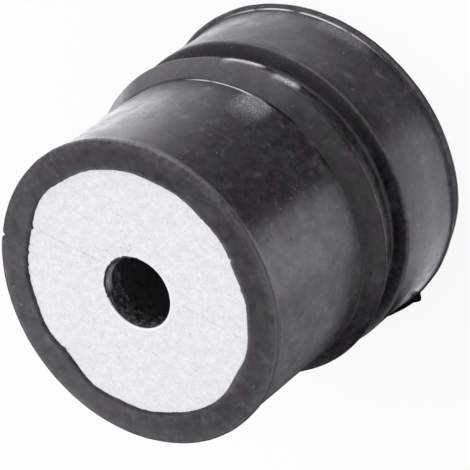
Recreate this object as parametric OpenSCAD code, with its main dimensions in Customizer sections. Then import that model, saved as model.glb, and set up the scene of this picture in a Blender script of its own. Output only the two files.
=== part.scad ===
// Anti-vibration mount: a moulded rubber buffer with a metal disc bonded into its front face.
// It stands on its rear face at z = 0, with its axis along Z and the disc at the top.

/* [Front section] */
// Diameter over the front rim
front_d = 34; // [33.4:0.1:38]
// Diameter at the neck, next to the bead
neck_d = 33.3; // [32.8:0.1:33.8]
// Length from the front face to the bead
front_len = 16.9; // [12:0.1:24]
// How far the front rim flares out
rim_flare = 0.2; // [0.05:0.05:0.4]
// Length of the front rim's flare
rim_w = 1.2; // [0.8:0.1:2.5]

/* [Bead] */
// Height of the bead's crest over the neck
bead_h = 1.5; // [1:0.05:1.9]
// Length of the bead's flank, from the neck to the crest
crest_in = 2.4; // [2:0.1:3.6]
// Rounding of the bead's crest
crest_r = 0.2; // [0.1:0.05:0.6]
// Width of the bead at its foot
bead_w = 4.95; // [4.6:0.05:6]
// Height of the bead over the neck at the groove
back_h = 0.6; // [0.4:0.05:0.9]
// Rounding of the bead's edge at the groove
back_r = 0.25; // [0.1:0.05:0.4]

/* [Groove] */
// Diameter of the groove floor, which a panel's hole seats on
groove_d = 32; // [30.5:0.1:33]
// Width of the groove between the bead and the rear section
groove_w = 2.05; // [1.6:0.05:4]
// Rounding of the groove's corners
corner_r = 0.6; // [0.2:0.05:1]

/* [Rear section] */
// Diameter at the edge next to the groove
rear_d = 36.2; // [35.4:0.1:39]
// Diameter at the waist
waist_d = 35.9; // [34.5:0.1:36.2]
// Length over which the side flares out from the waist to the flash fin
flare_len = 2.9; // [1:0.1:4]
// How far the side flares out to the flash fin
flare_out = 0.17; // [0.05:0.01:0.3]
// Length of the rear section
rear_len = 9.4; // [7:0.1:14]
// Rounding of the edges next to the groove and of the bore's mouth
edge_r = 0.25; // [0.15:0.05:0.8]

/* [Flash fin] */
// Width of the fin that the mould left around the rear face
fin_w = 0.53; // [0.3:0.01:1]
// Thickness of the fin where it leaves the side
fin_foot = 0.5; // [0.4:0.01:0.8]
// Thickness of the fin at its edge
fin_t = 0.28; // [0.2:0.01:0.34]
// Rounding of the corner between the side and the fin
fin_corner = 0.2; // [0.1:0.05:0.25]
// Width that is left of the fin over its torn stretch
fin_left = 0.15; // [0.05:0.01:0.25]
// Where the torn stretch starts, in degrees
tear_at = 303.5; // [270:0.5:340]
// How far the torn stretch goes round, in degrees
tear_turn = 44.5; // [10:0.5:80]

/* [Bore and plate] */
// Diameter of the blind bore from the rear
bore_d = 15; // [11:0.1:20]
// Diameter of the hole through the plate, inside its rubber skin
hole_d = 7.6; // [5:0.1:9]
// Thickness of the rubber skin in the plate's hole
liner_t = 0.2; // [0.1:0.05:0.5]
// Diameter of the plate
plate_d = 29.4; // [29:0.1:31]
// Thickness of the plate
plate_t = 2; // [1.5:0.1:4]
// Thickness of the rubber behind the plate
backing_t = 0.5; // [0.3:0.1:3]
// Thickness of the rubber that laps over the plate's edge
lap_t = 0.2; // [0.1:0.05:0.4]
// Mean diameter of the plate's uncovered face
window_d = 27.1; // [25:0.1:27.4]

/* [Nick] */
// Depth of the nick in the front rim
front_nick = 0.5; // [0.2:0.05:0.9]
// Place of the nick in the front rim, in degrees
front_nick_at = 157; // [0:1:359]

/* [Hidden] */
$fn = 96;
front_r = front_d / 2;
neck_r = neck_d / 2;
groove_r = groove_d / 2;
rear_r = rear_d / 2;
waist_r = waist_d / 2;
foot_r = waist_r + flare_out;
foot_z = fin_foot + fin_corner;
fin_r = foot_r + fin_w;
groove_top = rear_len + groove_w;
neck_z = groove_top + bead_w;
length = neck_z + front_len;
plate_face = length - lap_t;
plate_back = plate_face - plate_t;
bore_end = plate_back - backing_t;
// Corners of the bead before they are rounded: at the neck, the crest, the groove's edge and its floor
neck_k = [neck_r, neck_z];
crest_k = [neck_r + bead_h, neck_z - crest_in];
back_k = [neck_r + back_h, groove_top];
floor_k = [groove_r, groove_top];
// The roundings in the groove leave a straight wall between them
wall = back_k.x - groove_r;
corner = min(corner_r, 0.4 * groove_w, 0.55 * wall);
back = min(back_r, 0.35 * wall);
// Waves in the edge of the rubber around the plate: waves per turn, height, place of the first crest
waves = [[1, 0.13, 139], [2, 0.15, 97], [3, 0.04, 20], [4, 0.035, 48], [5, 0.04, 39], [6, 0.05, 59],
         [7, 0.085, 31], [10, 0.045, 17], [11, 0.065, 0], [14, 0.045, 23]];

// Points of an arc about c, from angle a to angle b
function arc(c, r, a, b, n = 6) =
    [for (i = [0:n]) let (t = a + (b - a) * i / n) c + r * [cos(t), sin(t)]];

// A flare that leaves radius r0 at height z0 and reaches radius r1 at height z1, steeper towards its lip
function flare(r0, z0, r1, z1, n = 6) =
    [for (i = [0:n]) [r0 + (r1 - r0) * pow(i / n, 1.7), z0 + (z1 - z0) * i / n]];

// Points that round off the corner k between points a and b
function rounded(a, k, b, r, n = 6) =
    let (u = (a - k) / norm(a - k), w = (b - k) / norm(b - k), h = acos(u * w) / 2,
         c = k + (u + w) / norm(u + w) * r / sin(h), s = k + u * r / tan(h) - c,
         way = u.x * w.y > u.y * w.x ? -1 : 1)
    [for (i = [0:n]) let (t = way * (180 - 2 * h) * i / n)
        c + [s.x * cos(t) - s.y * sin(t), s.x * sin(t) + s.y * cos(t)]];

// Radius of the plate's uncovered face at an angle
function window_r(a, i = 0) = i == len(waves) ? window_d / 2
    : waves[i][1] * cos(waves[i][0] * (a - waves[i][2])) + window_r(a, i + 1);

// Half section of the buffer, from the rear face up to the front face
fin = concat([[fin_r - 0.08, 0], [fin_r, 0.08], [fin_r, fin_t - 0.05], [fin_r - 0.05, fin_t]],
             arc([foot_r + fin_corner, foot_z], fin_corner, 270, 180, 4));
side_flare = flare(waist_r, foot_z + flare_len, foot_r, foot_z);
rear_side = concat([for (i = [len(side_flare) - 2:-1:0]) side_flare[i]],
                   arc([rear_r - edge_r, rear_len - edge_r], edge_r, 0, 90));
groove = concat(arc([groove_r + corner, rear_len + corner], corner, 270, 180),
                arc([groove_r + corner, groove_top - corner], corner, 180, 90));
bead = concat(rounded(floor_k, back_k, crest_k, back), rounded(back_k, crest_k, neck_k, crest_r), [neck_k]);
front_rim = concat(flare(front_r - rim_flare, length - rim_w, front_r, length - 0.25),
                   arc([front_r - 0.15, length - 0.15], 0.15, 0, 90, 3));
outline = concat([[0, 0]], fin, rear_side, groove, bead, front_rim, [[0, length]]);

// The moulded solid of revolution, with the stretch where its fin is torn
module body() {
    difference() {
        rotate_extrude() polygon(outline);
        rotate([0, 0, tear_at]) rotate_extrude(angle = tear_turn)
            translate([foot_r + fin_left, -1]) square([fin_w + 1, foot_z + 1]);
    }
}

// The bore from the rear, with its rounded mouth, and the hole through the front
module bores() {
    mouth = bore_d / 2 + edge_r;
    translate([0, 0, -1]) cylinder(h = bore_end + 1, d = bore_d);
    translate([0, 0, bore_end - 1]) cylinder(h = length - bore_end + 2, d = hole_d);
    rotate_extrude() polygon(concat([[0, -1], [mouth, -1], [mouth, 0]],
                                    arc([mouth, edge_r], edge_r, 270, 180), [[0, edge_r]]));
}

// A V-shaped nick of a given depth, cut along Z into a rim of radius r
module nick(r, depth, at, z, h) {
    rotate([0, 0, at]) translate([r - depth, 0, z]) linear_extrude(height = h)
        polygon([[0, 0], [2 * depth, 1.3 * depth], [2 * depth, -1.3 * depth]]);
}

// The disc that is bonded into the front face
module disc() {
    translate([0, 0, plate_back]) difference() {
        cylinder(h = plate_t, d = plate_d);
        translate([0, 0, -1]) cylinder(h = plate_t + 2, d = hole_d + 2 * liner_t);
    }
}

module rubber_buffer() {
    color([0.07, 0.07, 0.075]) difference() {
        body();
        bores();
        disc();
        translate([0, 0, plate_face]) linear_extrude(height = lap_t + 1)
            polygon([for (a = [0:3:357]) window_r(a) * [cos(a), sin(a)]]);
        nick(front_r, front_nick, front_nick_at, length - 1, 2);
    }
}

module end_plate() {
    color([0.86, 0.86, 0.88]) disc();
}

rubber_buffer();
end_plate();
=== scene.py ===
"""Anti-vibration mount: a moulded black rubber buffer with a pale metal disc bonded into its front face."""

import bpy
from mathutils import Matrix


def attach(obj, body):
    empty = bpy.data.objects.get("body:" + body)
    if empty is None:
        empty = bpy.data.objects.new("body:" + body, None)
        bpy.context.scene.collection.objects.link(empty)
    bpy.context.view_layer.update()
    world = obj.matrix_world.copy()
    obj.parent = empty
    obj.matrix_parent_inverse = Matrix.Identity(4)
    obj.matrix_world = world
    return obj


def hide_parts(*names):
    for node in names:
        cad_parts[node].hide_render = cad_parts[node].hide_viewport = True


bl_info = {
    "name": "Anti-vibration mount",
    "version": (1, 0, 0),
    "blender": (4, 5, 0),
    "location": "3D View > Sidebar > Mount",
    "description": "Builds a bonded rubber mount with a metal disc, and a plain studio to show it in",
    "category": "Object",
}

import math

import bpy
from bpy.props import FloatProperty, FloatVectorProperty, IntProperty, PointerProperty
from mathutils import Matrix, Vector

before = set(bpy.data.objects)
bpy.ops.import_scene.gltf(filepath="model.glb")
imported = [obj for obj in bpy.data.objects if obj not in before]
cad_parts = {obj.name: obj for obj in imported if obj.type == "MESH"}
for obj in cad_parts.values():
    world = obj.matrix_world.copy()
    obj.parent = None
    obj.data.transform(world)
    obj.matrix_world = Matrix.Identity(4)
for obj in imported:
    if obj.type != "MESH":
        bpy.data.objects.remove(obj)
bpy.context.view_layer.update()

MM = 0.001

# Point in the middle of the picture, in metres.
AIM = (0.000885, -0.000978, 0.016375)

# Waves in the edge of the rubber around the disc: waves per turn, height in mm, place of a crest in degrees.
LAP_WAVES = (
    (1, 0.13, 139), (2, 0.15, 97), (3, 0.04, 20), (4, 0.035, 48), (5, 0.04, 39), (6, 0.05, 59),
    (7, 0.085, 31), (10, 0.045, 17), (11, 0.065, 0), (12, 0.035, 20), (13, 0.03, 0), (14, 0.045, 23),
)
# Small flaws in that edge: place in degrees, half width and height in mm, with bare metal counted outwards.
LAP_FLAWS = (
    (147, 0.4, -0.22), (16.3, 0.22, 0.26), (209, 0.5, -0.16), (1.5, 0.5, -0.14),
    (156, 0.2, -0.1), (160.5, 0.35, -0.14), (166.5, 0.3, -0.12), (172, 0.3, -0.1),
)

# Waves in the flash fin around the rear face, and the nub where it is torn, in the same forms.
FIN_WAVES = ((1, 0.08, 20), (3, 0.05, 20))
FIN_FLAWS = ((302.6, 0.8, 0.34),)
# Where the fin's torn stretch starts and ends, in degrees.
TEAR_FROM, TEAR_TO = 303.4, 349

# Slow waves in the front rim in the same form, the first of them an even swelling, and the place of its nick.
RIM_WAVES = ((0, 0.05, 0), (1, 0.09, 252), (2, 0.07, 252))
NICK_AT = 157

# Light cards on the floor, which the rubber's sides mirror. Each has its turn from the camera's side in
# degrees (fades in from, full from, full to, fades out by), its distance from the axis in mm in the same way,
# and its brightness, where 1 is white.
CARDS = (
    ((30, 108, 122, 172), (26.3, 30, 43, 54), 2.45),
    ((10, 45, 70, 105), (20.2, 21.6, 25, 29), 0.85),
    ((70, 105, 115, 150), (19.4, 20.6, 22, 25), 0.7),
    ((10, 55, 110, 150), (17.9, 18.3, 19.2, 21.0), 0.85),
    ((10, 55, 70, 92), (17.9, 18.3, 19.3, 20.6), 0.85),
    ((70, 92, 110, 150), (17.9, 18.2, 18.9, 19.4), 1.15),
    ((-95, -65, 90, 140), (18.6, 19.6, 22.5, 27), 0.65),
    ((-92, -30, -22, -3), (18.5, 19.3, 24.5, 29), 1.15),
    ((-80, -24, -18, -5), (18.5, 18.9, 20.2, 22.2), 0.7),
    ((-108, -84, -60, -20), (18, 18.2, 18.9, 19.9), 1.5),
    ((-62, -44, -22, -8), (28.5, 35.5, 50, 62), 1.75),
    ((-112, -66, -22, -8), (27.5, 32.5, 50, 62), 1.1),
    ((-150, -112, -100, -84), (28, 33, 40, 50), 0.33),
    ((12, 38, 93, 140), (48, 62, 1900, 2000), 2.9),
    ((-98, -60, 12, 38), (70, 110, 1900, 2000), 0.5),
    ((-125, -85, 180, 181), (27, 32, 50, 62), 0.25),
)


# ---- sizes and colours a user would change


def length(name, description, mm):
    return FloatProperty(name=name, description=description, default=mm * MM, unit="LENGTH", precision=5)


def colour(name, description, hex_value):
    shade = linear(hex_value)[:3]
    return FloatVectorProperty(name=name, description=description, default=shade, size=3, subtype="COLOR")


def angle(name, description, degrees):
    return FloatProperty(name=name, description=description, default=math.radians(degrees), subtype="ANGLE")


def linear(hex_value):
    """An sRGB hex colour as linear RGBA."""
    parts = [int(hex_value[i:i + 2], 16) / 255 for i in (1, 3, 5)]
    return tuple(c / 12.92 if c <= 0.04045 else ((c + 0.055) / 1.055) ** 2.4 for c in parts) + (1.0,)


class BufferSizes(bpy.types.PropertyGroup):
    """Sizes of the rubber moulding"""
    front_r: length("Front rim", "Radius over the front rim", 17.0)
    neck_r: length("Neck", "Radius next to the bead", 16.65)
    front_len: length("Front length", "Length from the front face to the bead", 16.9)
    rim_flare: length("Rim flare", "How far the front rim flares out", 0.2)
    rim_w: length("Rim width", "Length of the front rim's flare", 1.2)
    rim_edge: length("Rim edge", "Rounding of the front rim's worn edge", 0.55)
    bead_h: length("Bead height", "Height of the bead's crest over the neck", 1.5)
    crest_in: length("Flank", "Length of the bead's flank, from the neck to the crest", 2.4)
    crest_r: length("Crest", "Rounding of the bead's crest", 0.15)
    bead_w: length("Bead width", "Width of the bead at its foot", 4.95)
    back_h: length("Bead back", "Height of the bead over the neck at the groove", 0.6)
    back_r: length("Bead back rounding", "Rounding of the bead's edge at the groove", 0.25)
    groove_r: length("Groove floor", "Radius of the groove's floor", 16.0)
    groove_w: length("Groove width", "Width of the groove", 1.95)
    corner_r: length("Groove corner", "Rounding of the groove's corners", 0.6)
    rear_r: length("Rear edge", "Radius of the rear section next to the groove", 18.1)
    waist_r: length("Waist", "Radius of the rear section at its waist", 17.95)
    flare_len: length("Flare length", "Length over which the side flares out towards the fin", 2.9)
    flare_out: length("Flare", "How far the side flares out towards the fin", 0.17)
    fin_r: length("Rear fin", "Mean radius over the flash fin around the rear face", 18.65)
    fin_foot: length("Fin foot", "Thickness of the fin where it leaves the side", 0.5)
    fin_t: length("Fin edge", "Thickness of the fin at its edge", 0.28)
    fin_corner: length("Fin corner", "Rounding of the corner between side and fin", 0.2)
    fin_tear: length("Fin tear", "How much of the fin is torn away over one stretch", 0.38)
    rear_len: length("Rear length", "Length of the rear section", 9.5)
    edge_r: length("Edge rounding", "Rounding of the groove's edge and the bore's mouth", 0.25)
    bore_r: length("Bore", "Radius of the blind bore from the rear", 7.5)
    lap_t: length("Lap", "Thickness of the rubber over the disc's edge", 0.2)
    window_r: length("Window", "Mean radius of the disc's uncovered face", 13.55)
    backing_t: length("Backing", "Thickness of the rubber behind the disc", 0.5)
    flash: length("Flash", "How far the moulding flash wanders along the rims", 0.12)
    skin: length("Torn skin", "Roughness of the rubber skin in the disc's hole", 0.22)
    uneven: length("Unevenness", "Slow waviness of the moulded surface", 0.04)
    front_nick: length("Front nick", "Depth of the nick in the front rim", 0.5)
    segments: IntProperty(name="Segments", description="Steps around the moulding", default=480, min=48)


class DiscSizes(bpy.types.PropertyGroup):
    """Sizes of the bonded disc"""
    disc_r: length("Disc", "Radius of the disc", 14.7)
    disc_t: length("Thickness", "Thickness of the disc", 2.0)
    hole_r: length("Hole", "Radius of the hole inside its rubber skin", 3.8)
    liner_t: length("Skin", "Thickness of the rubber skin in the hole", 0.2)
    burr: length("Burr", "Height of the burr around the hole", 0.07)


class Finishes(bpy.types.PropertyGroup):
    """Colours of the pieces"""
    rubber: colour("Rubber", "Black moulded rubber", "#2b2c30")
    rubber_warm: colour("Warm rubber", "Browner clouds in the rubber", "#2f232c")
    rubber_olive: colour("Olive rubber", "Greener clouds in the rubber", "#262d20")
    # This colour is real soot in the random blotches, and painted shade under the crease, in the pits, on the
    # torn fin and along a line in the crease.
    soot_and_shade: colour("Soot", "Dull black blotches in the rubber", "#131213")
    # This colour is real bloom and dust, and also painted light: lighter up the groove's wall where less
    # shade falls, and highlights on the groove's edge and the rim.
    bloom_and_light: colour("Bloom", "Pale bloom and dust on the rubber", "#7e7b81")
    # This colour mostly paints highlights on one side of the rubber, where a lamp would glint, and also the
    # bare skin in the hole.
    glint_and_bare_skin: colour("Smears", "Wiped bloom and bare skin", "#f6f4fa")
    disc: colour("Disc", "Grit-blasted metal", "#fafafe")
    disc_shade: colour("Disc grain", "Hollows of the blasted grain", "#dcdce4")
    speck: colour("Specks", "Dark grains left in the blasted face", "#808086")


class Studio(bpy.types.PropertyGroup):
    """Camera and light"""
    azimuth: angle("Camera turn", "Direction of the camera, from +X", 29.157)
    elevation: angle("Camera height", "Angle of the camera above the floor", 47.492)
    roll: angle("Camera roll", "Turn of the camera about its own axis", 127.119)
    distance: length("Camera distance", "From the camera to the point that it aims at", 471.123)
    aim: FloatVectorProperty(
        name="Aim", description="Point in the middle of the picture", default=AIM, size=3,
        subtype="TRANSLATION")
    lens: FloatProperty(name="Lens", description="Focal length in mm for a 36 mm sensor", default=344.68)
    sky: FloatProperty(name="Sky", description="Strength of the soft light from all sides", default=0.66)


# ---- helpers

# Kinds of node that are used most.
MATH, VECTOR, WHOLE = "ShaderNodeMath", "ShaderNodeVectorMath", "FunctionNodeIntegerMath"
NOISE, CELLS, MIX, BUMP = "ShaderNodeTexNoise", "ShaderNodeTexVoronoi", "ShaderNodeMix", "ShaderNodeBump"
RANGE, SAMPLE = "ShaderNodeMapRange", "GeometryNodeSampleIndex"
# Setting of a range that eases in and out.
SOFT = {"interpolation_type": "SMOOTHSTEP"}


def add(tree, kind, inputs=(), out=0, **settings):
    """Adds a node with settings, sets or links its inputs in order or by name, and gives an output."""
    node = tree.nodes.new(kind)
    for name, value in settings.items():
        setattr(node, name, value)
    for key, value in inputs.items() if isinstance(inputs, dict) else enumerate(inputs):
        if isinstance(value, bpy.types.NodeSocket):
            tree.links.new(value, node.inputs[key])
        else:
            node.inputs[key].default_value = value
    return node if out is None else node.outputs[out]


def arc(cr, cz, radius, start, end, steps):
    """Points of an arc about (cr, cz), angles in degrees."""
    turns = [math.radians(start + (end - start) * i / steps) for i in range(steps + 1)]
    return [(cr + radius * math.cos(t), cz + radius * math.sin(t)) for t in turns]


def rounded(before, corner, after, radius, steps):
    """Points of the rounding of a corner between two straight stretches."""
    corner = Vector(corner)
    u, w = (Vector(before) - corner).normalized(), (Vector(after) - corner).normalized()
    half = u.angle(w) / 2
    centre = corner + (u + w).normalized() * (radius / math.sin(half))
    start, end = (corner + way * (radius / math.tan(half)) - centre for way in (u, w))
    sweep = math.copysign(math.pi - 2 * half, start.cross(end))
    return [tuple(centre + Matrix.Rotation(sweep * i / steps, 2) @ start) for i in range(steps + 1)]


def direction(turn, height):
    """Unit vector at a turn about Z and an angle above the floor."""
    return Vector((math.cos(height) * math.cos(turn), math.cos(height) * math.sin(turn), math.sin(height)))


def span(a, b, steps):
    """Points of a straight stretch from a up to, but without, b."""
    return [(a[0] + (b[0] - a[0]) * i / steps, a[1] + (b[1] - a[1]) * i / steps) for i in range(steps)]


def flare(foot, lip, power, steps):
    """Points of a flare from its foot out to its lip, steeper towards the lip."""
    (r0, z0), (r1, z1) = foot, lip
    shares = [i / steps for i in range(steps + 1)]
    return [(r0 + (r1 - r0) * share ** power, z0 + (z1 - z0) * share) for share in shares]


class Section:
    """Closed half section of a turned piece: points (radius, height) with weights of what roughens them."""

    # The wear weight is partly rubbed wear and partly painted light: a lighter groove wall where less shade
    # falls, and painted highlights on rounded edges.
    WEIGHTS = ("lap", "rim", "lip", "skin", "uneven", "worn", "dull")

    def __init__(self):
        self.points, self.weights = [], []

    def go(self, points, **weights):
        """Adds points. A weight is one value, or a pair that runs from the first point to the last."""
        ends = {key: w if isinstance(w, tuple) else (w, w) for key, w in weights.items()}
        for i, (radius, height) in enumerate(points):
            share = i / max(1, len(points) - 1)
            self.points.append((radius, 0.0, height))
            self.weights.append({key: a + (b - a) * share for key, (a, b) in ends.items()})

    def mesh(self, name):
        mesh = bpy.data.meshes.new(name)
        n = len(self.points)
        mesh.from_pydata(self.points, [(i, (i + 1) % n) for i in range(n)], [])
        for key in self.WEIGHTS:
            values = mesh.attributes.new(key, "FLOAT", "POINT")
            values.data.foreach_set("value", [w.get(key, 0.0) for w in self.weights])
        return mesh


def turned_tree():
    """Geometry nodes that turn a section about Z, with wavy laps, wandering flash, a nick and a torn skin."""
    tree = bpy.data.node_groups.new("turned_moulding", "GeometryNodeTree")
    kinds = {
        "Section": "Geometry", "Segments": "Int", "Flash": "Float", "Skin": "Float", "Unevenness": "Float",
        "Front Nick": "Float", "Front Nick Place": "Float", "Fin Tear": "Float", "Tear Start": "Float",
        "Tear End": "Float", "Rim Wave": "Float", "Seed": "Float", "Material": "Material",
    }
    sockets = {}
    for name, kind in kinds.items():
        socket = tree.interface.new_socket(name=name, in_out="INPUT", socket_type="NodeSocket" + kind)
        sockets[name] = socket.identifier
    tree.interface.new_socket(name="Piece", in_out="OUTPUT", socket_type="NodeSocketGeometry")
    given = add(tree, "NodeGroupInput", out=None).outputs

    # One row of grid points for each step around, one column for each point of the section.
    count = add(tree, "GeometryNodeAttributeDomainSize", (given["Section"],), "Point Count", component="MESH")
    columns = add(tree, WHOLE, (count, 1), operation="ADD")
    rows = add(tree, WHOLE, (given["Segments"], 1), operation="ADD")
    grid = add(tree, "GeometryNodeMeshGrid", {"Vertices X": rows, "Vertices Y": columns})
    index = add(tree, "GeometryNodeInputIndex")
    column = add(tree, WHOLE, (index, columns), operation="MODULO")
    place = add(tree, WHOLE, (column, count), operation="MODULO")
    row = add(tree, WHOLE, (index, columns), operation="DIVIDE_FLOOR")
    step = add(tree, MATH, (2 * math.pi, given["Segments"]), operation="DIVIDE")
    turn = add(tree, MATH, (row, step), operation="MULTIPLY")

    source = {"Geometry": given["Section"], "Index": place}
    here = add(tree, "GeometryNodeInputPosition")
    point = add(tree, SAMPLE, dict(source, Value=here), data_type="FLOAT_VECTOR")
    weight = {}
    for key in Section.WEIGHTS:
        named = add(tree, "GeometryNodeInputNamedAttribute", {"Name": key}, "Attribute", data_type="FLOAT")
        weight[key] = add(tree, SAMPLE, dict(source, Value=named), data_type="FLOAT")
    split = add(tree, "ShaderNodeSeparateXYZ", (point,), None).outputs
    radius, height = split["X"], split["Z"]
    cos = add(tree, MATH, (turn,), operation="COSINE")
    sin = add(tree, MATH, (turn,), operation="SINE")
    x = add(tree, MATH, (cos, radius), operation="MULTIPLY")
    y = add(tree, MATH, (sin, radius), operation="MULTIPLY")

    def waves(table):
        """Sum of the waves of a table."""
        total = 0.0
        for per_turn, tall, at in table:
            start = -per_turn * math.radians(at)
            phase = add(tree, MATH, (turn, float(per_turn), start), operation="MULTIPLY_ADD")
            wave = add(tree, MATH, (phase,), operation="COSINE")
            total = add(tree, MATH, (wave, tall * MM, total), operation="MULTIPLY_ADD")
        return total

    def apart(at):
        """Distance along the turned surface from an angle, going across its chord."""
        past = add(tree, MATH, (turn, at), operation="SUBTRACT")
        half_turn = add(tree, MATH, (past, 0.5), operation="MULTIPLY")
        half_chord = add(tree, MATH, (half_turn,), operation="SINE")
        chord = add(tree, MATH, (half_chord, 2.0), operation="MULTIPLY")
        chord = add(tree, MATH, (chord,), operation="ABSOLUTE")
        return add(tree, MATH, (chord, radius), operation="MULTIPLY")

    def flaws(table):
        """Sum of the pointed flaws of a table."""
        total = 0.0
        for at, half, tall in table:
            away = apart(math.radians(at))
            share = add(tree, RANGE, {"Value": away, "From Max": half * MM, "To Min": 1.0, "To Max": 0.0})
            total = add(tree, MATH, (share, tall * MM, total), operation="MULTIPLY_ADD")
        return total

    def wander(mm, z_scale, shift, detail):
        """Noise from -1 to 1 that runs around the piece, for bumps of a size in mm."""
        start = add(tree, MATH, (given["Seed"], shift), operation="ADD")
        lift = add(tree, MATH, (height, z_scale, start), operation="MULTIPLY_ADD")
        spot = add(tree, "ShaderNodeCombineXYZ", (x, y, lift))
        noise = add(tree, NOISE, {"Vector": spot, "Scale": 1 / (mm * MM), "Detail": detail, "Roughness": 0.6})
        return add(tree, MATH, (noise, 2.0, -1.0), operation="MULTIPLY_ADD")

    # Flash wanders along the rims, coarsely and finely.
    coarse = add(tree, MATH, (wander(4.5, 0.0, 0.1, 2.0), 0.7), operation="MULTIPLY")
    fringe = add(tree, MATH, (wander(1.1, 0.0, 0.3, 2.0), 0.3, coarse), operation="MULTIPLY_ADD")
    rims = add(tree, MATH, (weight["rim"], weight["lip"]), operation="ADD")
    flash = add(tree, MATH, (rims, fringe), operation="MULTIPLY")
    flash = add(tree, MATH, (flash, given["Flash"]), operation="MULTIPLY")
    # The skin in the hole is torn, and the whole surface is a little uneven.
    skin = add(tree, MATH, (weight["skin"], wander(0.8, 1.0, 0.7, 3.0)), operation="MULTIPLY")
    skin = add(tree, MATH, (skin, given["Skin"]), operation="MULTIPLY")
    swell = add(tree, MATH, (weight["uneven"], wander(9.0, 1.0, 0.9, 1.0)), operation="MULTIPLY")
    swell = add(tree, MATH, (swell, given["Unevenness"]), operation="MULTIPLY")
    # The lap's edge is wavy and ragged.
    ragged = add(tree, MATH, (wander(0.7, 0.0, 0.5, 3.0), 0.11 * MM), operation="MULTIPLY")
    lap = add(tree, MATH, (waves(LAP_WAVES), flaws(LAP_FLAWS)), operation="ADD")
    lap = add(tree, MATH, (lap, ragged), operation="ADD")
    # The front rim has slow waves and one V nick.
    rim = add(tree, MATH, (waves(RIM_WAVES), given["Rim Wave"]), operation="MULTIPLY")
    aside = apart(given["Front Nick Place"])
    gap = add(tree, MATH, (aside, -1.3, given["Front Nick"]), operation="MULTIPLY_ADD")
    gap = add(tree, MATH, (gap, 0.0), operation="MAXIMUM")
    nick = add(tree, MATH, (gap, weight["rim"]), operation="MULTIPLY")
    # The fin is torn away over one stretch: cut off short at its start, fading in at its end.
    past = add(tree, MATH, (turn, given["Tear Start"]), operation="SUBTRACT")
    ripped = add(tree, RANGE, {"Value": past, "From Max": math.radians(1.2)})
    left = add(tree, MATH, (given["Tear End"], turn), operation="SUBTRACT")
    healed = add(tree, RANGE, {"Value": left, "From Max": math.radians(22)}, **SOFT)
    tear = add(tree, MATH, (ripped, healed), operation="MULTIPLY")
    tear = add(tree, MATH, (tear, given["Fin Tear"]), operation="MULTIPLY")
    fin = add(tree, MATH, (waves(FIN_WAVES), flaws(FIN_FLAWS)), operation="ADD")
    fin = add(tree, MATH, (fin, tear), operation="SUBTRACT")

    out = radius
    for key, part in (("lap", lap), ("lip", fin), ("rim", rim)):
        out = add(tree, MATH, (weight[key], part, out), operation="MULTIPLY_ADD")
    for part in (flash, skin, swell):
        out = add(tree, MATH, (out, part), operation="ADD")
    out = add(tree, MATH, (out, nick), operation="SUBTRACT")
    out_x = add(tree, MATH, (out, cos), operation="MULTIPLY")
    out_y = add(tree, MATH, (out, sin), operation="MULTIPLY")
    spot = add(tree, "ShaderNodeCombineXYZ", (out_x, out_y, height))

    piece = add(tree, "GeometryNodeSetPosition", {"Geometry": grid, "Position": spot})
    for key in ("skin", "worn", "dull"):
        stored = {"Geometry": piece, "Name": key, "Value": weight[key]}
        piece = add(tree, "GeometryNodeStoreNamedAttribute", stored, data_type="FLOAT", domain="POINT")
    piece = add(tree, "GeometryNodeMergeByDistance", {"Geometry": piece, "Distance": 1e-6})
    piece = add(tree, "GeometryNodeSetShadeSmooth", {"Geometry": piece})
    piece = add(tree, "GeometryNodeRealizeInstances", {"Geometry": piece})
    piece = add(tree, "GeometryNodeSetMaterial", {"Geometry": piece, "Material": given["Material"]})
    add(tree, "NodeGroupOutput", (piece,), None)
    return tree, sockets


def turn_piece(name, section, material, values, sharp):
    """Turns a section into a plain closed mesh, with edges over an angle in degrees kept sharp."""
    maker = bpy.data.objects.new(name + "_section", section.mesh(name + "_section"))
    bpy.context.scene.collection.objects.link(maker)
    tree, sockets = turned_tree()
    modifier = maker.modifiers.new("turn", "NODES")
    modifier.node_group = tree
    for key, value in dict(values, Material=material).items():
        modifier[sockets[key]] = value
    graph = bpy.context.evaluated_depsgraph_get()
    turned = maker.evaluated_get(graph)
    mesh = bpy.data.meshes.new_from_object(turned, preserve_all_data_layers=True, depsgraph=graph)
    mesh.name = name
    maker.modifiers.remove(modifier)
    bpy.data.objects.remove(maker)
    bpy.data.node_groups.remove(tree)
    inside = sum(p.center.dot(p.normal) * p.area for p in mesh.polygons)
    if inside < 0:
        mesh.flip_normals()
    mesh.set_sharp_from_angle(angle=math.radians(sharp))
    if not mesh.materials:
        mesh.materials.append(material)
    piece = bpy.data.objects.new(name, mesh)
    bpy.context.scene.collection.objects.link(piece)
    return piece


# ---- materials


def new_material(name):
    material = bpy.data.materials.new(name)
    material.use_nodes = True
    material.node_tree.nodes.clear()
    return material, material.node_tree


def scratch(tree, flat, start, end, half, ends):
    """Share of a soft line between two places, with its half width and the length of its ends, all in mm."""
    a, b = Vector(start) * MM, Vector(end) * MM
    along, long = (b - a).normalized(), (b - a).length
    local = add(tree, VECTOR, (flat, (a.x, a.y, 0.0)), operation="SUBTRACT")
    run = add(tree, VECTOR, (local, (along.x, along.y, 0.0)), "Value", operation="DOT_PRODUCT")
    off = add(tree, VECTOR, (local, (-along.y, along.x, 0.0)), "Value", operation="DOT_PRODUCT")
    off = add(tree, MATH, (off,), operation="ABSOLUTE")
    share = add(tree, RANGE, {"Value": off, "From Min": half * MM, "From Max": 0.0}, **SOFT)
    for begin, full in ((0.0, ends * MM), (long, long - ends * MM)):
        fade = add(tree, RANGE, {"Value": run, "From Min": begin, "From Max": full}, **SOFT)
        share = add(tree, MATH, (share, fade), operation="MULTIPLY")
    return share


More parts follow.
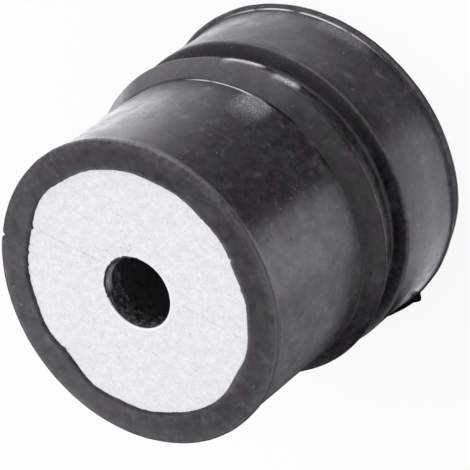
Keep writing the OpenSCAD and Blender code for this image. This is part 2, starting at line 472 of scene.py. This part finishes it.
def moulded_rubber(looks):
    """Black natural rubber, moulded in steel tools: satin, with sooty clouds, bloom, dust and rubbed edges,
    and with painted shade and highlights.
    """
    material, tree = new_material("moulded_black_rubber")
    spot = add(tree, "ShaderNodeTexCoord", out="Object")
    worn, skin, dull = (
        add(tree, "ShaderNodeAttribute", out="Fac", attribute_name=name) for name in ("worn", "skin", "dull"))
    split = add(tree, "ShaderNodeSeparateXYZ", (spot,), None).outputs
    height = split["Z"]
    turn = add(tree, MATH, (split["Y"], split["X"]), operation="ARCTAN2")
    # The side rolled out flat: distance around at a radius of 17.5 mm, and height.
    around = 17.5
    rolled = add(tree, MATH, (turn, around * MM), operation="MULTIPLY")
    flat = add(tree, "ShaderNodeCombineXYZ", (rolled, height))
    names = ("rubber", "rubber_warm", "rubber_olive", "soot_and_shade", "bloom_and_light", "glint_and_bare_skin")
    shades = {name: tuple(getattr(looks, name)) + (1.0,) for name in names}

    def blotches(mm, detail, rough, low, high, most):
        """Share from 0 to most of soft-edged blotches of a size in mm."""
        noise = {"Vector": spot, "Scale": 1 / (mm * MM), "Detail": detail, "Roughness": rough}
        levels = {"Value": add(tree, NOISE, noise), "From Min": low, "From Max": high, "To Max": most}
        return add(tree, RANGE, levels, **SOFT)

    def grains(cell, size, share):
        """Round grains of a size in mm, one in some of the cells of another size."""
        cells = add(tree, CELLS, {"Vector": spot, "Scale": 1 / (cell * MM)}, None).outputs
        rim, core = 0.5 * size / cell, 0.25 * size / cell
        dots = add(tree, RANGE, {"Value": cells["Distance"], "From Min": rim, "From Max": core}, **SOFT)
        chosen = add(tree, MATH, (cells["Color"], share), operation="GREATER_THAN")
        return add(tree, MATH, (dots, chosen), operation="MULTIPLY")

    def patch(at, half_turn, low, high, under, over, most):
        """Share from 0 to most of a soft patch about a turn in degrees, and its heights and fades in mm."""
        apart = add(tree, MATH, (turn, math.radians(at)), operation="SUBTRACT")
        apart = add(tree, MATH, (apart,), operation="ABSOLUTE")
        rim, core = math.radians(half_turn), math.radians(half_turn * 0.3)
        share = add(tree, RANGE, {"Value": apart, "From Min": rim, "From Max": core, "To Max": most}, **SOFT)
        for start, full in ((low - under, low), (high + over, high)):
            fade = add(tree, RANGE, {"Value": height, "From Min": start * MM, "From Max": full * MM}, **SOFT)
            share = add(tree, MATH, (share, fade), operation="MULTIPLY")
        return share

    def mark(turn_a, height_a, turn_b, height_b, half, ends):
        """Share of a soft line on the side, from a turn in degrees and a height in mm to another."""
        start, end = (around * math.radians(turn_a), height_a), (around * math.radians(turn_b), height_b)
        return scratch(tree, flat, start, end, half, ends)

    # Places that are dull with residue: in the crease and on the flank at both ends, along one half of the
    # crest, the torn fin, and a line in the crease. The torn fin and that line are also painted dark with
    # shade, as shadow falls there.
    fin_shade = patch(-66, 40, -0.1, 0.5, 0.1, 0.2, 1.0)
    crease_shade_line = mark(40, 16.3, 59, 16.32, 0.14, 1.5)
    residues = (
        patch(-46, 44, 16.42, 17.6, 0.1, 3.4, 0.95), patch(112, 48, 16.42, 17.4, 0.1, 3.4, 0.75),
        patch(-62, 36, 14.2, 16.5, 0.3, 0.1, 0.8), patch(8, 68, 11.4, 14.0, 0.1, 0.12, 0.85),
        fin_shade, crease_shade_line,
    )
    for share in residues:
        dull = add(tree, MATH, (dull, share), operation="MAXIMUM")
    # Fainter blotches of it on the front ring.
    ring = add(tree, RANGE, {"Value": height, "From Min": 33.0 * MM, "From Max": 33.2 * MM, "To Max": 0.22})
    stained = add(tree, MATH, (ring, blotches(1.8, 4.0, 0.62, 0.42, 0.64, 1.0)), operation="MULTIPLY")
    dull = add(tree, MATH, (dull, stained), operation="MAXIMUM")

    # Painted shade on the flank under the crease, darkening it towards the crease.
    flank = {"Value": height, "From Min": 14.4 * MM, "From Max": 16.2 * MM, "To Max": 0.3}
    below = add(tree, MATH, (height, 16.38 * MM), operation="LESS_THAN")
    under = add(tree, MATH, (add(tree, RANGE, flank, **SOFT), below), operation="MULTIPLY")
    # Dust, and pits painted dark with the shade inside them, drawn a little coarser than they are so that
    # they show.
    clouds = blotches(4.0, 2.0, 0.5, 0.42, 0.6, 0.75)
    dusty = add(tree, MATH, (grains(1.1, 0.26, 0.48), clouds), operation="MULTIPLY")
    dent = mark(16, 30.5, 17.2, 30.8, 0.2, 0.1)
    pits = add(tree, MATH, (grains(1.9, 0.42, 0.6), dent), operation="MAXIMUM")
    # Paler skin on rubbed edges, partly wear and partly painted light: lighter up the groove's wall where
    # less shade falls, a painted highlight along one half of the groove's edge, and a paler band along one
    # side of the front rim.
    scuffs_and_light = add(tree, MATH, (worn, blotches(0.6, 3.0, 0.6, 0.25, 0.7, 0.42)), operation="MULTIPLY")
    for share in (patch(75, 70, 9.3, 9.52, 0.1, 0.05, 0.28), patch(-12, 60, 32.7, 33.2, 0.25, 0.09, 0.34)):
        scuffs_and_light = add(tree, MATH, (scuffs_and_light, share), operation="MAXIMUM")
    # Painted highlights on one side, where a lamp would glint. Those above the crease, at the fin and on the
    # bead's back are finely speckled.
    painted_glints = 0.0
    speckled = (
        patch(59, 9, 16.45, 16.8, 0.05, 5.0, 0.42), patch(58, 14, 0.55, 1.0, 0.1, 1.8, 0.22),
        mark(51, 12.3, 62.5, 13.2, 1.5, 0.9),
    )
    for share in speckled:
        painted_glints = add(tree, MATH, (painted_glints, share), operation="MAXIMUM")
    painted_glints = add(tree, MATH, (painted_glints, blotches(0.2, 3.0, 0.6, 0.25, 0.72, 1.0)), operation="MULTIPLY")
    # The solid painted highlights are a streak across the bead's back, and lines along the crease and the
    # fin's corner.
    streak = mark(66.5, 11.5, 81.5, 13.4, 1.5, 1.0)
    crease, corner = mark(52, 16.42, 93, 16.42, 0.14, 3.0), patch(76, 38, 0.53, 0.6, 0.04, 0.05, 0.75)
    lines = add(tree, MATH, (crease, corner), operation="MAXIMUM")
    lines = add(tree, MATH, (lines, blotches(2.2, 2.0, 0.5, 0.2, 0.5, 1.0)), operation="MULTIPLY")
    for share in (streak, lines):
        painted_glints = add(tree, MATH, (painted_glints, share), operation="MAXIMUM")
    # Torn skin in the hole: duller, with paler tears, and smooth where it has peeled off the metal.
    peeled = add(tree, MATH, (skin, patch(152, 38, 32.3, 33.2, 0.3, 0.08, 0.5)), operation="MULTIPLY")
    torn = add(tree, MATH, (skin, blotches(0.5, 4.0, 0.6, 0.42, 0.68, 0.8)), operation="MULTIPLY")

    # Clouds of browner, greener and sootier rubber under a thin haze of bloom, then all these marks, the
    # painted shade and highlights among them.
    layers = (
        ("rubber_warm", blotches(3.2, 4.0, 0.55, 0.4, 0.62, 1.0)),
        ("rubber_olive", blotches(4.6, 3.0, 0.6, 0.52, 0.68, 0.7)),
        ("soot_and_shade", blotches(1.2, 4.0, 0.65, 0.46, 0.6, 0.72)),
        ("bloom_and_light", blotches(1.7, 5.0, 0.7, 0.52, 0.74, 0.26)),
        ("soot_and_shade", under), ("bloom_and_light", dusty), ("soot_and_shade", pits), ("bloom_and_light", scuffs_and_light), ("glint_and_bare_skin", painted_glints),
        ("bloom_and_light", torn), ("glint_and_bare_skin", peeled), ("soot_and_shade", fin_shade), ("soot_and_shade", crease_shade_line),
    )
    colour = shades["rubber"]
    for shade, share in layers:
        layer = {"Factor": share, "A": colour, "B": shades[shade]}
        colour = add(tree, MIX, layer, "Result", data_type="RGBA")

    # Satin in blotches, rougher where the skin is torn.
    satin = {"Value": blotches(2.6, 5.0, 0.65, 0.35, 0.65, 1.0), "To Min": 0.2, "To Max": 0.34}
    still_torn = add(tree, MATH, (skin, peeled), operation="SUBTRACT")
    rough = add(tree, MATH, (still_torn, 0.25, add(tree, RANGE, satin)), operation="MULTIPLY_ADD")
    grain = add(tree, NOISE, {"Vector": spot, "Scale": 1 / (0.4 * MM), "Detail": 3.0, "Roughness": 0.6})
    normal = add(tree, BUMP, {"Strength": 0.5, "Distance": 0.012 * MM, "Height": grain})
    dents = {"Strength": 0.6, "Distance": 0.03 * MM, "Height": pits, "Normal": normal}
    surface = {
        "Base Color": colour, "Roughness": rough, "Normal": add(tree, BUMP, dents, invert=True), "IOR": 1.43,
        "Specular IOR Level": add(tree, RANGE, {"Value": dull, "To Min": 0.5, "To Max": 0.0}),
        "Specular Tint": linear("#f7f7ff"),
    }
    add(tree, "ShaderNodeOutputMaterial", (add(tree, "ShaderNodeBsdfPrincipled", surface),), None)
    return material


def blasted_metal(looks):
    """Aluminium cleaned with grit before bonding: pale, matt and finely grained, with a few dark grains and a
    painted highlight on one side of the hole's burr.
    """
    material, tree = new_material("grit_blasted_aluminium")
    spot = add(tree, "ShaderNodeTexCoord", out="Object")
    pale, shade, speck = (tuple(c) + (1.0,) for c in (looks.disc, looks.disc_shade, looks.speck))

    # Blasted grain of about 0.2 mm, drawn at 0.25 mm so that it shows, over a coarser one.
    grain = add(tree, NOISE, {"Vector": spot, "Scale": 1 / (0.25 * MM), "Detail": 3.0, "Roughness": 0.7})
    hollows = add(tree, RANGE, {"Value": grain, "From Min": 0.35, "From Max": 0.65})
    uneven = add(tree, NOISE, {"Vector": spot, "Scale": 1 / (0.8 * MM), "Detail": 3.0, "Roughness": 0.7})
    uneven = add(tree, RANGE, {"Value": uneven, "From Min": 0.3, "From Max": 0.7})
    hollows = add(tree, MIX, {"Factor": 0.5, "A": hollows, "B": uneven}, "Result")
    # Dark grains, thicker around the hole.
    reach = add(tree, VECTOR, (spot, (1.0, 1.0, 0.0)), operation="MULTIPLY")
    reach = add(tree, VECTOR, (reach,), "Value", operation="LENGTH")
    cells = add(tree, CELLS, {"Vector": spot, "Scale": 1 / (0.9 * MM)}, None).outputs
    dots = {"Value": cells["Distance"], "From Min": 0.13, "From Max": 0.06, "To Max": 0.5}
    rarity = {"Value": reach, "From Min": 4.5 * MM, "From Max": 9 * MM, "To Min": 0.5, "To Max": 0.72}
    chosen = add(tree, MATH, (cells["Color"], add(tree, RANGE, rarity)), operation="GREATER_THAN")
    marks = add(tree, MATH, (add(tree, RANGE, dots, **SOFT), chosen), operation="MULTIPLY")
    # Two faint, broken scratches.
    left_line = scratch(tree, spot, (-11.3, 7.3), (-3.2, 3.3), 0.22, 1.5)
    right_line = scratch(tree, spot, (4.7, -1.0), (11.9, -5.1), 0.2, 0.5)
    lines = add(tree, MATH, (left_line, right_line), operation="MAXIMUM")
    broken = add(tree, NOISE, {"Vector": spot, "Scale": 1 / (0.9 * MM), "Detail": 4.0, "Roughness": 0.7})
    broken = add(tree, RANGE, {"Value": broken, "From Min": 0.36, "From Max": 0.62, "To Max": 0.3})
    lines = add(tree, MATH, (lines, broken), operation="MULTIPLY")
    # A cluster of smaller grains beside the hole.
    fine = add(tree, NOISE, {"Vector": spot, "Scale": 1 / (0.22 * MM), "Detail": 2.0, "Roughness": 0.6})
    fine = add(tree, RANGE, {"Value": fine, "From Min": 0.54, "From Max": 0.66, "To Max": 0.55})
    beside = scratch(tree, spot, (-4.6, 4.9), (1.8, 4.6), 0.75, 1.2)
    cluster = add(tree, MATH, (beside, fine), operation="MULTIPLY")
    for share in (lines, cluster):
        marks = add(tree, MATH, (marks, share), operation="MAXIMUM")
    # Painted highlight on the pressed burr around the hole, on one side of it.
    split = add(tree, "ShaderNodeSeparateXYZ", (spot,), None).outputs
    facing = add(tree, MATH, (split["Y"], -0.87), operation="MULTIPLY")
    facing = add(tree, MATH, (split["X"], 0.5, facing), operation="MULTIPLY_ADD")
    facing = add(tree, MATH, (facing, reach), operation="DIVIDE")
    burr = add(tree, RANGE, {"Value": reach, "From Min": 4.4 * MM, "From Max": 4.2 * MM}, **SOFT)
    side = add(tree, RANGE, {"Value": facing, "From Min": -0.6, "From Max": 0.6})
    burr = add(tree, MATH, (burr, side), operation="MULTIPLY")
    # Torn rubber left on the burr, mostly on the other side.
    ragged = add(tree, NOISE, {"Vector": spot, "Scale": 1 / (0.5 * MM), "Detail": 3.0, "Roughness": 0.6})
    edge = add(tree, MATH, (ragged, 0.4 * MM, reach), operation="MULTIPLY_ADD")
    edge = add(tree, MATH, (facing, 0.3 * MM, edge), operation="MULTIPLY_ADD")
    rubber = add(tree, RANGE, {"Value": edge, "From Min": 4.13 * MM, "From Max": 4.05 * MM}, **SOFT)

    colour = shade
    bright, black = linear("#fdfdfe"), linear("#2b292b")
    for share, over in ((hollows, pale), (marks, speck), (burr, bright), (rubber, black)):
        colour = add(tree, MIX, {"Factor": share, "A": colour, "B": over}, "Result", data_type="RGBA")
    normal = add(tree, BUMP, {"Strength": 0.5, "Distance": 0.04 * MM, "Height": grain})
    shader = add(tree, "ShaderNodeBsdfPrincipled", {"Base Color": colour, "Roughness": 0.7, "Normal": normal})
    add(tree, "ShaderNodeOutputMaterial", (shader,), None)
    return material


# ---- pieces


def stations(rubber, disc):
    """Heights of the main planes of the part, from the rear face up."""
    groove_top = rubber.rear_len + rubber.groove_w
    neck = groove_top + rubber.bead_w
    front = neck + rubber.front_len
    face = front - rubber.lap_t
    back = face - disc.disc_t
    return groove_top, neck, front, face, back, back - rubber.backing_t


class MOUNT_OT_rubber_buffer(bpy.types.Operator):
    """Turns the rubber moulding with its bead, groove, fin and blind bore"""
    bl_idname = "mount.rubber_buffer"
    bl_label = "Rubber buffer"

    def execute(self, context):
        s, d = context.scene.mount_buffer, context.scene.mount_disc
        groove_top, neck, front, face, back, bore_end = stations(s, d)
        tiny = 0.02 * MM
        cut = Section()
        # Front face, from the feathered edge of the lap out to the worn rim.
        w = s.window_r
        feather = [(w, face), (w + 2 * tiny, face + 3 * tiny), (w + 5 * tiny, front - 2 * tiny)]
        cut.go(feather + [(w + 11 * tiny, front)], lap=1.0)
        cut.go([(w + 0.6 * MM, front), (w + 1.2 * MM, front), (w + 1.8 * MM, front)], lap=(0.7, 0.1))
        edge = s.rim_edge
        # The ring grows paler towards the rim and the rim's rounding is paler still: rubbed wear, with a
        # painted highlight where the rounding catches light.
        cut.go(span((w + 2.3 * MM, front), (s.front_r - edge, front), 3), uneven=0.2, worn=(0.0, 0.3))
        cut.go(arc(s.front_r - edge, front - edge, edge, 90, 0, 8), rim=(0.5, 1.0), worn=(0.6, 1.0))
        side, lip = s.front_r - s.rim_flare, (s.front_r, front - edge - tiny)
        flared = flare((side, front - s.rim_w), lip, 1.7, 8)[::-1]
        cut.go(flared, rim=(1.0, 0.0), worn=(1.0, 0.0), uneven=(0.2, 1.0))
        # Side of the front section, down to the crease at the bead.
        cut.go(span((side, front - s.rim_w - 0.5 * MM), (s.neck_r, neck + 0.3 * MM), 14), uneven=1.0)
        recess = ((0.0, 0.16), (0.01, 0.08), (0.06, 0.01))
        cut.go([(s.neck_r - deep * MM, neck + up * MM) for deep, up in recess], uneven=0.6)
        # Bead: a straight flank up to the crest, then a bevelled back down to the groove.
        crease, crest = (s.neck_r, neck), (s.neck_r + s.bead_h, neck - s.crest_in)
        heel, floor = (s.neck_r + s.back_h, groove_top), (s.groove_r, groove_top)
        top, turn_in = rounded(crease, crest, heel, s.crest_r, 8), rounded(crest, heel, floor, s.back_r, 8)
        cut.go(span(crease, top[0], 16)[1:], uneven=0.6, dull=(0.22, 0.0))
        cut.go(top, uneven=0.6)
        cut.go(span(top[-1], turn_in[0], 6)[1:] + turn_in, uneven=(0.6, 0.0))
        # Groove with rounded corners, then the wall up to the rear section.
        centre, low, high = s.groove_r + s.corner_r, s.rear_len + s.corner_r, groove_top - s.corner_r
        cut.go(arc(centre, high, s.corner_r, 90, 180, 6) + arc(centre, low, s.corner_r, 180, 270, 6))
        wall, under = s.rear_r - s.edge_r, s.rear_len - s.edge_r
        # The groove's wall is painted lighter towards its edge, where less shade falls, and the edge's
        # rounding carries a painted highlight.
        cut.go(span((centre + 0.2 * MM, s.rear_len), (wall, s.rear_len), 5), worn=(0.0, 0.5))
        cut.go(arc(wall, under, s.edge_r, 90, 0, 7), uneven=(0.0, 0.6), worn=(1.0, 0.3))
        # Waisted side, flaring out into the flash fin.
        out = s.waist_r + s.flare_out
        foot, waist = s.fin_foot + s.fin_corner, s.fin_foot + s.fin_corner + s.flare_len
        cut.go([(s.rear_r, under - 2 * tiny)], uneven=0.6)
        cut.go(span((s.rear_r - 0.01 * MM, under - 0.4 * MM), (s.waist_r, waist), 10), uneven=1.0)
        cut.go(flare((s.waist_r, waist), (out, foot), 2.0, 10), uneven=(1.0, 0.2))
        cut.go(arc(out + s.fin_corner, foot, s.fin_corner, 190, 260, 5), uneven=0.2)
        edge_top = (s.fin_r - 0.04 * MM, s.fin_t + 0.02 * MM)
        cut.go(span((out + 0.25 * MM, s.fin_foot - 0.02 * MM), edge_top, 5), lip=(0.2, 1.0), worn=1.0)
        tip = [(s.fin_r, s.fin_t - 0.04 * MM), (s.fin_r, 0.08 * MM), (s.fin_r - 0.08 * MM, 0.0)]
        cut.go([edge_top] + tip, lip=1.0)
        # Rear face, rounded mouth and the bore.
        mouth = s.bore_r + s.edge_r
        cut.go(span((s.fin_r - 1.2 * MM, 0.0), (mouth, 0.0), 6))
        cut.go(arc(mouth, s.edge_r, s.edge_r, 270, 180, 8), worn=0.3)
        cut.go(span((s.bore_r, s.edge_r + 1 * MM), (s.bore_r, bore_end), 8), uneven=0.6, worn=8.0)
        cut.go(span((s.bore_r, bore_end), (d.hole_r, bore_end), 4))
        # Torn skin in the disc's hole, then the seat that the disc is bonded into.
        outer = d.hole_r + d.liner_t
        cut.go(span((d.hole_r, bore_end), (d.hole_r, face - 0.2 * MM), 14), skin=1.0)
        cut.go([(outer - 0.08 * MM, face - 0.1 * MM)], skin=0.3)
        cut.go([(outer, face - 0.12 * MM), (outer, back), (d.disc_r, back), (d.disc_r, face)])
        values = {
            "Segments": s.segments, "Flash": s.flash, "Skin": s.skin, "Unevenness": s.uneven,
            "Front Nick": s.front_nick, "Front Nick Place": math.radians(NICK_AT), "Fin Tear": s.fin_tear,
            "Tear Start": math.radians(TEAR_FROM), "Tear End": math.radians(TEAR_TO), "Rim Wave": 1.0,
            "Seed": 3.0,
        }
        rubber = moulded_rubber(context.scene.mount_finishes)
        piece = turn_piece("rubber_moulding", cut, rubber, values, sharp=38)
        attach(piece, "root")
        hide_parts("rubber_buffer")
        return {"FINISHED"}


class MOUNT_OT_end_disc(bpy.types.Operator):
    """Turns the bonded disc with the pressed burr of its hole"""
    bl_idname = "mount.end_disc"
    bl_label = "End disc"

    def execute(self, context):
        s, d = context.scene.mount_buffer, context.scene.mount_disc
        face, back = stations(s, d)[3:5]
        hole = d.hole_r + d.liner_t
        cut = Section()
        cut.go(arc(hole + 0.14 * MM, face + d.burr - 0.14 * MM, 0.14 * MM, 180, 75, 8))
        cut.go([(hole + 0.28 * MM, face + 0.35 * d.burr), (hole + 0.42 * MM, face)])
        cut.go(span((hole + 0.7 * MM, face), (d.disc_r, face), 12))
        cut.go([(d.disc_r, face), (d.disc_r, back), (hole, back)])
        # The disc has none of the rubber's flaws, so it leaves their sizes at nought.
        values = {"Segments": 256, "Seed": 5.0}
        metal = blasted_metal(context.scene.mount_finishes)
        piece = turn_piece("blasted_disc", cut, metal, values, sharp=30)
        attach(piece, "root")
        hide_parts("end_plate")
        return {"FINISHED"}


class MOUNT_OT_studio(bpy.types.Operator):
    """Sets the floor, the soft light and the camera"""
    bl_idname = "mount.studio"
    bl_label = "Studio"

    def execute(self, context):
        scene, s = context.scene, context.scene.mount_studio
        scene.view_settings.view_transform = "Standard"

        mesh = bpy.data.meshes.new("floor")
        half, low = 1.5, -0.02 * MM
        corners = [(-half, -half, low), (half, -half, low), (half, half, low), (-half, half, low)]
        mesh.from_pydata(corners, [], [(0, 1, 2, 3)])
        floor = bpy.data.objects.new("floor", mesh)
        scene.collection.objects.link(floor)

        # White floor. The camera sees it nearly evenly white with a faint shadow, and the rubber mirrors the
        # light cards on it.
        material, tree = new_material("white_studio_floor")
        mesh.materials.append(material)
        spot = add(tree, "ShaderNodeTexCoord", out="Object")
        from_camera = {"Vector": spot, "Angle": -s.azimuth}
        faced = add(tree, "ShaderNodeVectorRotate", from_camera, rotation_type="Z_AXIS")
        split = add(tree, "ShaderNodeSeparateXYZ", (faced,), None).outputs
        turn = add(tree, MATH, (split["Y"], split["X"]), operation="ARCTAN2")
        reach = add(tree, VECTOR, (spot,), "Value", operation="LENGTH")
        glow = 0.0
        for turns, distances, bright in CARDS:
            share = bright
            for value, marks, unit in ((turn, turns, math.radians(1)), (reach, distances, MM)):
                inner, full_from, full_to, outer = (mark * unit for mark in marks)
                for start, full in ((inner, full_from), (outer, full_to)):
                    fade = add(tree, RANGE, {"Value": value, "From Min": start, "From Max": full}, **SOFT)
                    share = add(tree, MATH, (share, fade), operation="MULTIPLY")
            glow = add(tree, MATH, (glow, share), operation="ADD")
        path = add(tree, "ShaderNodeLightPath", out=None).outputs
        plain = add(tree, "ShaderNodeBsdfDiffuse", {"Color": linear("#f2f2f2")})
        white = add(tree, "ShaderNodeEmission", {"Color": (1, 1, 1, 1), "Strength": 1.0})
        cards = add(tree, "ShaderNodeEmission", {"Color": (0.99, 0.985, 1.05, 1), "Strength": glow})
        seen = add(tree, MATH, (path["Is Camera Ray"], 0.9), operation="MULTIPLY")
        bright = add(tree, "ShaderNodeMixShader", (seen, plain, white))
        final = add(tree, "ShaderNodeMixShader", (path["Is Glossy Ray"], bright, cards))
        add(tree, "ShaderNodeOutputMaterial", (final,), None)
        material.cycles.emission_sampling = "NONE"

        # Soft light from all sides, in front of a white background that gloss mirrors too.
        world = bpy.data.worlds.new("soft_studio")
        scene.world = world
        world.use_nodes = True
        tree = world.node_tree
        tree.nodes.clear()
        path = add(tree, "ShaderNodeLightPath", out=None).outputs
        sky = add(tree, "ShaderNodeBackground", {"Color": (1, 1, 1, 1), "Strength": s.sky})
        white = add(tree, "ShaderNodeBackground", {"Color": (1, 1, 1, 1), "Strength": 1.0})
        seen = add(tree, MATH, (path["Is Camera Ray"], path["Is Glossy Ray"]), operation="MAXIMUM")
        seen = add(tree, MATH, (seen, path["Is Transmission Ray"]), operation="MAXIMUM")
        add(tree, "ShaderNodeOutputWorld", (add(tree, "ShaderNodeMixShader", (seen, sky, white)),), None)

        # Camera at the photograph's angle, rolled so that the disc faces the lower left.
        back = direction(s.azimuth, s.elevation)
        turned = (-back).to_track_quat("-Z", "Y").to_matrix() @ Matrix.Rotation(-s.roll, 3, "Z")
        camera = bpy.data.objects.new("camera", bpy.data.cameras.new("camera"))
        camera.data.sensor_width, camera.data.lens = 36.0, s.lens
        camera.matrix_world = Matrix.Translation(Vector(s.aim) + back * s.distance) @ turned.to_4x4()
        scene.collection.objects.link(camera)
        scene.camera = camera

        def lamp(name, turn, height, gap, wide, tall, radiance, at=(0.0, 0.0, 0.017)):
            """A soft box that shines at a point of the part, from a turn about Z and a height in degrees."""
            data = bpy.data.lights.new(name, "AREA")
            data.shape, data.size, data.size_y = "RECTANGLE", wide, tall
            data.energy = radiance * math.pi * wide * tall
            thing = bpy.data.objects.new(name, data)
            way = direction(math.radians(turn), math.radians(height))
            facing = way.to_track_quat("Z", "Y").to_matrix().to_4x4()
            thing.matrix_world = Matrix.Translation(Vector(at) + way * gap) @ facing
            scene.collection.objects.link(thing)
            return thing

        lamp("soft_box_left", turn=92, height=7, gap=0.6, wide=0.62, tall=0.17, radiance=2.2)
        above = lamp("soft_box_above", turn=130, height=72, gap=0.6, wide=0.3, tall=0.3, radiance=4.0)
        above.visible_glossy = False
        rear = lamp("soft_box_behind", turn=212, height=44, gap=0.05, wide=0.036, tall=0.036, radiance=1.4,
                    at=(-0.0208, -0.0062, 0.0333))
        rear.visible_diffuse = False
        return {"FINISHED"}


class MOUNT_PT_panel(bpy.types.Panel):
    """Lists the pieces of the mount"""
    bl_label = "Anti-vibration mount"
    bl_idname = "MOUNT_PT_panel"
    bl_space_type = "VIEW_3D"
    bl_region_type = "UI"
    bl_category = "Mount"

    def draw(self, context):
        for operator in OPERATORS:
            self.layout.operator(operator.bl_idname)


OPERATORS = (MOUNT_OT_rubber_buffer, MOUNT_OT_end_disc, MOUNT_OT_studio)
GROUPS = {
    "mount_buffer": BufferSizes, "mount_disc": DiscSizes, "mount_finishes": Finishes, "mount_studio": Studio,
}


def register():
    for cls in (*GROUPS.values(), *OPERATORS, MOUNT_PT_panel):
        bpy.utils.register_class(cls)
    for name, group in GROUPS.items():
        setattr(bpy.types.Scene, name, PointerProperty(type=group))


def unregister():
    for name in GROUPS:
        delattr(bpy.types.Scene, name)
    for cls in (MOUNT_PT_panel, *OPERATORS, *GROUPS.values()):
        bpy.utils.unregister_class(cls)


def main():
    register()
    bpy.ops.mount.rubber_buffer()
    bpy.ops.mount.end_disc()
    bpy.ops.mount.studio()


if __name__ == "__main__":
    main()
